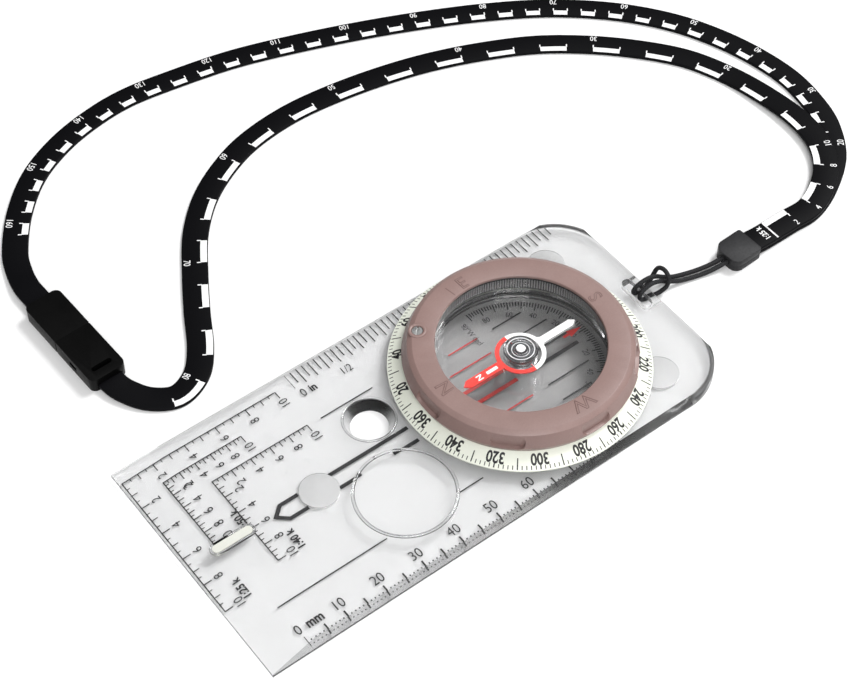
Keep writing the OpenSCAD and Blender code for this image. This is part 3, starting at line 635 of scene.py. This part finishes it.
def row(path, start, pitch, count, length, width, side=0.0, lift=0.0, slope=0.0, closed=False, finish=None):
    """Marks on a path of points in metres, with sizes in millimetres.

    start and side are those of a mark's middle.
    """
    line = bpy.data.meshes.new("path")
    edges = [(i, i + 1) for i in range(len(path) - 1)] + ([(len(path) - 1, 0)] if closed else [])
    line.from_pydata([tuple(p) for p in path], edges, [])
    obj = link(bpy.data.objects.new("row", line))
    modifier = obj.modifiers.new("marks", "NODES")
    modifier.node_group = marks_group
    values = {"Count": count, "Start": start * MM, "Pitch": pitch * MM, "Length": length * MM,
              "Width": width * MM, "Side": side * MM, "Lift": lift * MM, "Slope": slope,
              "Ink": finish or black_ink}
    for label, value in values.items():
        modifier[socket_id[label]] = value
    bpy.context.view_layer.update()
    mesh = bpy.data.meshes.new_from_object(obj.evaluated_get(bpy.context.evaluated_depsgraph_get()))
    bpy.data.objects.remove(obj)
    return mesh


def joined(meshes):
    bm = bmesh.new()
    for mesh in meshes:
        bm.from_mesh(mesh)
    whole = bpy.data.meshes.new("joined")
    bm.to_mesh(whole)
    bm.free()
    return whole


# ---- lettering and flat prints ---------------------------------------------

glyph_store = {}


def glyphs(text, weight=0.0, outline=0.0):
    """A text's mesh with capitals one unit high, centred on x and with its foot at y = 0."""
    key = (text, weight, outline)
    if key not in glyph_store:
        font = bpy.data.curves.new("text", "FONT")
        font.body = text
        font.align_x = "CENTER"
        font.offset = weight
        font.resolution_u = 4
        if outline:
            font.fill_mode = "NONE"
            font.bevel_depth = outline
            font.bevel_resolution = 1
        obj = link(bpy.data.objects.new("text", font))
        bpy.context.view_layer.update()
        mesh = bpy.data.meshes.new_from_object(obj.evaluated_get(bpy.context.evaluated_depsgraph_get()))
        bpy.data.objects.remove(obj)
        mesh.transform(Matrix.Scale(1 / 0.73, 4))
        glyph_store[key] = mesh
    return glyph_store[key].copy()


def lettered(text, tall, bend, weight=0.0, squeeze=0.85, outline=0.0, middle=True):
    """A word whose points go through bend(x, y), both in millimetres from the word's middle."""
    mesh = glyphs(text, weight, outline)
    for v in mesh.vertices:
        x, y, z = v.co
        p = bend(x * tall * squeeze, (y - (0.5 if middle else 0)) * tall)
        v.co = p + UP * z * tall * MM
    return mesh


def flat(x0, y0, z, angle=0.0):
    """A place on a level face: angle turns +X anticlockwise."""
    c, s = math.cos(math.radians(angle)), math.sin(math.radians(angle))
    return lambda x, y: Vector((x0 + x * c - y * s, y0 + x * s + y * c, z)) * MM


def round_dial(az, radius, z, slope=0.0):
    """A place on a ring about the dial's centre. az is clockwise from +Y, and tops point outwards."""
    def bend(x, y):
        a, r = math.radians(az) + x / radius, radius + y
        return Vector((r * math.sin(a), DIAL_Y + r * math.cos(a), z + y * slope)) * MM
    return bend


def along(path, s, side, lift, turned=0.0):
    """A place beside a path, s millimetres along it. turned swings the word from its direction."""
    marks = [0.0]
    for a, b in zip(path, path[1:]):
        marks.append(marks[-1] + (b - a).length / MM)
    ct, st = math.cos(math.radians(turned)), math.sin(math.radians(turned))

    def bend(x, y):
        u, v = x * ct - y * st, x * st + y * ct
        want = min(max(s + u, 0.01), marks[-1] - 0.01)
        i = next(k for k in range(1, len(marks)) if marks[k] >= want) - 1
        t = (want - marks[i]) / (marks[i + 1] - marks[i])
        ahead = ((path[i + 1] - path[i]) * Vector((1, 1, 0))).normalized()
        return path[i].lerp(path[i + 1], t) + UP.cross(ahead) * (side + v) * MM + UP * lift * MM
    return bend


def strip(points, width, z):
    """A printed line through points in millimetres, on a level face."""
    bm = bmesh.new()
    line = [Vector((x, y, z)) * MM for x, y in points]
    pairs = []
    for i, p in enumerate(line):
        back = (p - line[i - 1]).normalized() if i else None
        on = (line[i + 1] - p).normalized() if i + 1 < len(line) else None
        way = ((back or on) + (on or back)).normalized()
        left = UP.cross(way) * (width / 2 * MM / max(0.3, way.dot(on or back)))
        pairs.append((bm.verts.new(p - left), bm.verts.new(p + left)))
    for (a, b), (c, d) in zip(pairs, pairs[1:]):
        bm.faces.new((a, c, d, b))
    mesh = bpy.data.meshes.new("strip")
    bm.to_mesh(mesh)
    bm.free()
    return mesh


def patch(corners, z):
    mesh = bpy.data.meshes.new("patch")
    mesh.from_pydata([tuple(Vector((x, y, z)) * MM) for x, y in corners], [], [list(range(len(corners)))])
    return mesh


def hoop(r_in, r_out, z, y0=None, steps=96):
    bm = bmesh.new()
    y0 = DIAL_Y if y0 is None else y0
    rings = [[bm.verts.new(Vector((r * math.sin(a), y0 + r * math.cos(a), z)) * MM)
              for a in (2 * math.pi * k / steps for k in range(steps))] for r in (r_in, r_out)]
    for k in range(steps):
        j = (k + 1) % steps
        bm.faces.new((rings[0][k], rings[1][k], rings[1][j], rings[0][j]))
    bmesh.ops.recalc_face_normals(bm, faces=bm.faces)
    mesh = bpy.data.meshes.new("hoop")
    bm.to_mesh(mesh)
    bm.free()
    return mesh


def circle_path(radius, z, steps=360):
    """A closed path that runs clockwise from +Y, so that its left is outwards."""
    return [Vector((radius * math.sin(2 * math.pi * k / steps),
                    DIAL_Y + radius * math.cos(2 * math.pi * k / steps), z)) * MM for k in range(steps)]


def straight(x0, y0, x1, y1, z):
    return [Vector((x0, y0, z)) * MM, Vector((x1, y1, z)) * MM]


DIAL_Y = (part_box("dial_ring")[0].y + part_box("dial_ring")[1].y) / 2 / MM
PRINT_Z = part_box("baseplate")[0].z / MM + 0.03
PLATE_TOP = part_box("dial_ring")[0].z / MM - 0.15
plate_print = []

# three map corners: where each starts, its grid step, its name and where the name stands
for x0, y0, step, name, tag_at in ((27.6, 62.7, 4.0, "1:25 k", (-10, 57)),
                                   (22.2, 55.5, 2.0, "1:50 k", (4.2, 48.0)),
                                   (15.9, 47.2, 2.5, "1:40 k", (-7, 41.3))):
    reach = step * 10
    plate_print.append(strip([(x0, y0 - reach), (x0, y0), (x0 - reach, y0)], 0.28, PRINT_Z))
    down = straight(x0, y0, x0, y0 - reach - 1, PRINT_Z)
    across = straight(x0, y0, x0 - reach - 1, y0, PRINT_Z)
    half = step / 2
    # a path that runs down has +X on its left, and one that runs across has -Y on its left
    for path, sign in ((down, -1), (across, 1)):
        plate_print.append(row(path, 2 * step, 2 * step, 5, 0.26, 2.0, side=sign * 1.0))
        plate_print.append(row(path, step, 2 * step, 5, 0.24, 1.5, side=sign * 0.75))
        plate_print.append(row(path, half, step, 10, 0.22, 0.8, side=sign * 0.4))
    for n in (2, 4, 6, 8, 10):
        plate_print.append(lettered(str(n), 2.2, flat(x0 - 3.7, y0 - n * step, PRINT_Z)))
        plate_print.append(lettered(str(n), 2.2, flat(x0 - n * step, y0 - 3.6, PRINT_Z)))
    plate_print.append(lettered(name, 1.9, flat(*tag_at, PRINT_Z), weight=0.03))

# the millimetre edge and the inch edge
MM_X, MM_LABEL_X, MM_ZERO_Y = -28.3, -25.2, 53.4
mm_path = straight(MM_X, MM_ZERO_Y, MM_X, -60, PRINT_Z)
plate_print.append(row(mm_path, 0, 5, 17, 0.4, 1.9))
plate_print.append(row(mm_path, 1, 1, 83, 0.34, 0.36, side=-0.45))
for n in range(0, 80, 10):
    plate_print.append(lettered(str(n), 2.5, flat(MM_LABEL_X, MM_ZERO_Y - n, PRINT_Z, -90), squeeze=0.9))
plate_print.append(lettered("mm", 2.3, flat(MM_LABEL_X, 49.4, PRINT_Z, -90), weight=0.03))
INCH = 25.4
SIXTEENTH = INCH / 16
INCH_X, INCH_ZERO_Y = 30.2, 18.5
inch_path = straight(INCH_X, INCH_ZERO_Y, INCH_X, -60, PRINT_Z)
plate_print.append(row(inch_path, 0, 2 * SIXTEENTH, 24, 0.28, 4.4, side=-2.2))
plate_print.append(row(inch_path, SIXTEENTH, 2 * SIXTEENTH, 24, 0.28, 3.4, side=-1.7))
plate_print.append(lettered("0", 2.3, flat(23.9, 17.6, PRINT_Z, -90), weight=0.006))
plate_print.append(lettered("in", 2.1, flat(23.9, 15.1, PRINT_Z, -90), weight=0.03))
plate_print.append(lettered("1/2", 2.1, flat(23.5, 6.2, PRINT_Z, -90)))
for n in (1, 2):
    plate_print.append(lettered(str(n), 2.1, flat(23.5, INCH_ZERO_Y - INCH * n, PRINT_Z, -90)))

# the direction of travel, and the two fine guide lines
TRAVEL_X, TRAVEL_W, GUIDE_W = 2.05, 0.95, 0.3
plate_print.append(strip([(-TRAVEL_X, 34.4), (-TRAVEL_X, 39.1), (0, 41.4), (TRAVEL_X, 39.1),
                          (TRAVEL_X, 34.4)], TRAVEL_W, PRINT_Z))
for x, y_from, y_to, wide in ((TRAVEL_X, 26.2, 5, TRAVEL_W), (-TRAVEL_X, 26.2, 20.4, TRAVEL_W),
                              (-TRAVEL_X, 11.8, 5, TRAVEL_W), (15.6, 18.7, 4.6, GUIDE_W),
                              (-18.5, 53.7, 25.8, GUIDE_W), (-18.5, 6.4, 0, GUIDE_W)):
    plate_print.append(strip([(x, y_from), (x, y_to)], wide, PRINT_Z))
keep("plate_prints", joined(plate_print), PLATE, black_ink)

# the clear rim that stands round the luminous bar
low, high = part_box("luminous_bar")
bar_mid, bar_half = (low + high) / 2 / MM, (high - low) / 2 / MM
rim_r = bar_half.x + 0.4
rim = [Vector((bar_mid.x + rim_r * math.cos(a),
               bar_mid.y + (bar_half.y - bar_half.x) * (1 if math.sin(a) >= 0 else -1) + rim_r * math.sin(a),
               PLATE_TOP)) * MM for a in (2 * math.pi * (k + 0.5) / 32 for k in range(32))]
EDGE_X, REAR_Y, REAR_R = -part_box("baseplate")[0].x / MM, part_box("baseplate")[0].y / MM, 14
outline = [(EDGE_X, 52), (EDGE_X, REAR_Y + REAR_R)]
outline += [(EDGE_X - REAR_R + REAR_R * math.cos(a), REAR_Y + REAR_R - REAR_R * math.sin(a))
            for a in (math.pi / 2 * k / 16 for k in range(1, 17))]
outline += [(-x, y) for x, y in reversed(outline[1:])]
# A thin grey band along the plate's long edges and round its rear: its grey is painted shade standing for the
# dark edges of the clear plate.
edge_path = [Vector((x, y, 0)) * MM for x, y in outline]
edge_section = [(x * MM, z * MM) for x, z in ((-0.08, 0.9), (1.02, 3.03), (1.07, 2.98), (-0.03, 0.9))]
keep("edge_painted_shade_band", sweep(edge_path, edge_section, flat=True), PLATE, frosted_edge_painted_shade)


def bead(name, x, y, z, radius, thick, tall):
    """A clear raised bead round a place on the plate."""
    path = [Vector((x + radius * math.cos(a), y + radius * math.sin(a), z)) * MM
            for a in (2 * math.pi * k / 96 for k in range(97))]
    section = [(thick * MM * math.cos(-a), tall * MM * math.sin(-a))
               for a in (2 * math.pi * k / 10 for k in range(10))]
    return keep(name, sweep(path, section, flat=True), PLATE, acrylic)


bead("lens_rim", -12.4, 16.4, PLATE_TOP + 0.15, 11.25, 0.4, 0.35)
bead("hole_rim", 8, 11, PLATE_TOP, 5.95, 0.3, 0.3)
keep("bar_rim", sweep(rim + rim[:1], [(0.3 * MM * math.cos(-a), 0.3 * MM * math.sin(-a))
                                      for a in (2 * math.pi * k / 10 for k in range(10))], flat=True),
     PLATE, acrylic)


# ---- the dial's graduation -------------------------------------------------

RIM_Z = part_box("dial_ring")[0].z / MM + 0.45
SLOPE = -(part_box("dial_ring")[1].z / MM - RIM_Z) / 3.9


def cone_z(r, lift=0.02):
    return RIM_Z + (r - 29.8) * SLOPE + lift


dial_print = []
for first, every, many, low, high, thick in ((0, 2, 180, 28.75, 29.55, 0.2), (10, 20, 18, 27.3, 29.55, 0.26),
                                             (0, 20, 18, 28.75, 29.55, 0.3)):
    mid = (low + high) / 2
    arc = 2 * math.pi * mid / 360
    dial_print.append(row(circle_path(mid, cone_z(mid)), first * arc, every * arc, many, thick, high - low,
                          slope=SLOPE, closed=True))
for value in range(20, 361, 20):
    dial_print.append(lettered(str(value), 2.3, round_dial(value, 27.65, cone_z(27.65, 0.03), SLOPE),
                               weight=0.03, squeeze=0.86))
keep("dial_prints", joined(dial_print), HOUSING, black_ink)

# letters on the bezel, the rim round the screw and a moulded line beside the E; the letters and the line are
# drawn darker than the bezel as painted shade in their moulded grooves
TOP_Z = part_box("bezel_grip")[1].z / MM
letters = [lettered(word, 3.4, round_dial(az, 21.5, TOP_Z - 0.02), outline=0.022,
                    squeeze=1.1 if word == "W" else 0.95)
           for word, az in (("N", 0), ("E", 90), ("S", 180), ("W", 270))]
SCREW_X, SCREW_Y = (sum(c) / 2 / MM for c in list(zip(*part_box("adjusting_screw")))[:2])
boss = [Vector((SCREW_X + 1.72 * math.cos(a), SCREW_Y + 1.72 * math.sin(a), TOP_Z)) * MM
        for a in (2 * math.pi * k / 48 for k in range(49))]
keep("screw_boss", sweep(boss, [(0.42 * MM * math.cos(-a), 0.24 * MM * math.sin(-a))
                                for a in (2 * math.pi * k / 12 for k in range(12))], flat=True),
     HOUSING, bezel_plastic)
letters.append(row(circle_path(21.2, TOP_Z + 0.01), 21.2 * math.radians(80), 1, 1, 0.25, 3.0, closed=True,
                   finish=groove_shade_ink))
keep("bezel_letters", joined(letters), HOUSING, groove_shade_ink)

# ---- prints inside the capsule ---------------------------------------------

WELL_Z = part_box("housing_base")[0].z / MM + 0.62
black, red = [], []
for x, wide, high in ((1.93, 1.0, 15.5), (7.5, 0.4, 14.0), (12.65, 0.4, 10.5)):
    for s in (-1, 1):
        red.append(strip([(s * x, DIAL_Y + 2.2), (s * x, DIAL_Y + high)], wide, WELL_Z))
        black.append(strip([(s * x, DIAL_Y - 2.2), (s * x, DIAL_Y - high)], wide, WELL_Z))
scale = circle_path(18.9, WELL_Z)
arc = 2 * math.pi * 18.9 / 360
black.append(row(scale, 90 * arc, 2 * arc, 71, 0.28, 1.3))
black.append(row(scale, 90 * arc, 10 * arc, 15, 0.3, 2.2, side=-0.45))
for value in (80, 60, 40, 20, 0):
    black.append(lettered(str(value), 1.5, round_dial(180 - value, 15.9, WELL_Z)))
for value in (20, 40):
    black.append(lettered(str(value), 1.5, round_dial(180 + value, 15.9, WELL_Z)))
black.append(lettered("90°W decl", 1.5, flat(14.2, DIAL_Y + 2.4, WELL_Z, 180), squeeze=0.8))
black.append(lettered("50°", 1.5, round_dial(235, 15.9, WELL_Z)))
keep("capsule_lines_black", joined(black), HOUSING, black_ink)
keep("capsule_lines_red", joined(red), HOUSING, red_ink)
CUP_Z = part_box("capsule_cup")[0].z / MM + 0.62
pointer = [patch([(-1.0, DIAL_Y - 14.2), (1.0, DIAL_Y - 14.2), (0, DIAL_Y - 17.8)][::-1], CUP_Z),
           strip([(0, DIAL_Y - 12.6), (0, DIAL_Y - 14.4)], 0.7, CUP_Z)]
keep("declination_pointer", joined(pointer), CAPSULE, red_ink)



def ribs_tree():
    """Upright ribs in a ring about the origin."""
    tree = bpy.data.node_groups.new("ring of ribs", "GeometryNodeTree")
    tree.interface.new_socket("Geometry", in_out="INPUT", socket_type="NodeSocketGeometry")
    tree.interface.new_socket("Ribs", in_out="OUTPUT", socket_type="NodeSocketGeometry")
    ring = add(tree, "GeometryNodeMeshCircle", {"Vertices": 210, "Radius": 20.1 * MM})
    where = add(tree, "ShaderNodeSeparateXYZ", {0: add(tree, "GeometryNodeInputPosition").outputs[0]})
    turn = add(tree, "ShaderNodeCombineXYZ",
               {2: maths(tree, "ARCTAN2", where.outputs["Y"], where.outputs["X"])})
    rib = add(tree, "GeometryNodeMeshCube", {"Size": (0.34 * MM, 0.3 * MM, 2.6 * MM)})
    copies = add(tree, "GeometryNodeInstanceOnPoints",
                 {"Points": ring.outputs[0], "Instance": rib.outputs["Mesh"], "Rotation": turn.outputs[0]})
    real = add(tree, "GeometryNodeRealizeInstances", {0: copies.outputs[0]})
    coated = add(tree, "GeometryNodeSetMaterial", {"Geometry": real.outputs[0], "Material": rib_plastic})
    tree.links.new(coated.outputs[0], add(tree, "NodeGroupOutput").inputs["Ribs"])
    return tree


bench = link(bpy.data.objects.new("ribs", bpy.data.meshes.new("ribs")))
bench.modifiers.new("ribs", "NODES").node_group = ribs_tree()
bpy.context.view_layer.update()
ribs = bpy.data.meshes.new_from_object(bench.evaluated_get(bpy.context.evaluated_depsgraph_get()))
bpy.data.objects.remove(bench)
ribs.transform(Matrix.Translation(Vector((0, DIAL_Y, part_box("capsule_lid")[0].z / MM - 1.75)) * MM))
keep("capsule_ribs", ribs, CAPSULE, rib_plastic)

# ---- the needle and its hub ------------------------------------------------

NEEDLE_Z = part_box("needle")[1].z / MM + 0.012
tips = [lettered("N", 1.5, flat(0, DIAL_Y + 11.6, NEEDLE_Z), weight=0.02, squeeze=1.0),
        strip([(0, DIAL_Y + 6.6), (0, DIAL_Y + 9.6)], 0.8, NEEDLE_Z)]
keep("needle_marks_white", joined(tips), NEEDLE, white_ink)
outline = [(-1.0, DIAL_Y - 6.0), (-1.0, DIAL_Y - 14.5), (0, DIAL_Y - 15.9), (1.0, DIAL_Y - 14.5),
           (1.0, DIAL_Y - 6.0)]
keep("needle_marks_black", joined([strip(outline, 0.16, NEEDLE_Z)]), NEEDLE, black_ink)
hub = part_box("bearing_cup")[1].z / MM
# Dark rings painted on the clear hub as shade at its steps, and white rings painted beside them as glints.
keep("hub_painted_shade_rings", joined([hoop(1.16, 1.42, hub - 0.18), hoop(1.72, 1.82, hub - 0.53),
                          hoop(2.72, 2.86, hub - 0.23), hoop(3.3, 3.38, hub - 0.23)]),
     ROTOR, black_ink)
keep("hub_glints", joined([hoop(1.92, 2.12, hub - 0.53), hoop(2.95, 3.2, hub - 0.23)]),
     ROTOR, white_ink)

# ---- scales on the straps --------------------------------------------------


def strap_scale(name, path, zero, unit, tags, clear_of, title):
    """White blocks on every other pair of units, with fine end ticks, and numbers near the other edge."""
    lift = STRAP_T / 2 + 0.012
    blocks = (int((length_of(path) / MM - clear_of - zero) / unit) - 2) // 4 + 1
    first = zero + unit
    bits = [row(path, first, 4 * unit, blocks, 2 * unit, 1.55, side=2.15, lift=lift, finish=white_ink),
            row(path, zero, 4 * unit, blocks, 0.28, 0.95, side=1.0, lift=lift, finish=white_ink),
            row(path, zero + 2 * unit, 4 * unit, blocks, 0.28, 0.95, side=1.0, lift=lift, finish=white_ink),
            row(path, zero, 1, 1, 0.4, 5.6, side=0.0, lift=lift, finish=white_ink)]
    for value in tags:
        bits.append(lettered(str(value), 1.7, along(path, zero + value * unit, -1.75, lift), squeeze=0.8))
    if title:
        bits.append(lettered(title, 1.5, along(path, zero - 2.1, 0.2, lift, 90), weight=0.02))
    keep(name, joined(bits), PLATE, white_ink)


strap_scale("strap_25k_scale", path_25k, 9.5, 3.47, [2, 4, 6, 8] + list(range(10, 81, 10)), 14, "1:25 k")
strap_scale("strap_50k_scale", path_50k, 10.0, 1.832, [2, 4, 6, 8] + list(range(10, 161, 10)), 22, "")
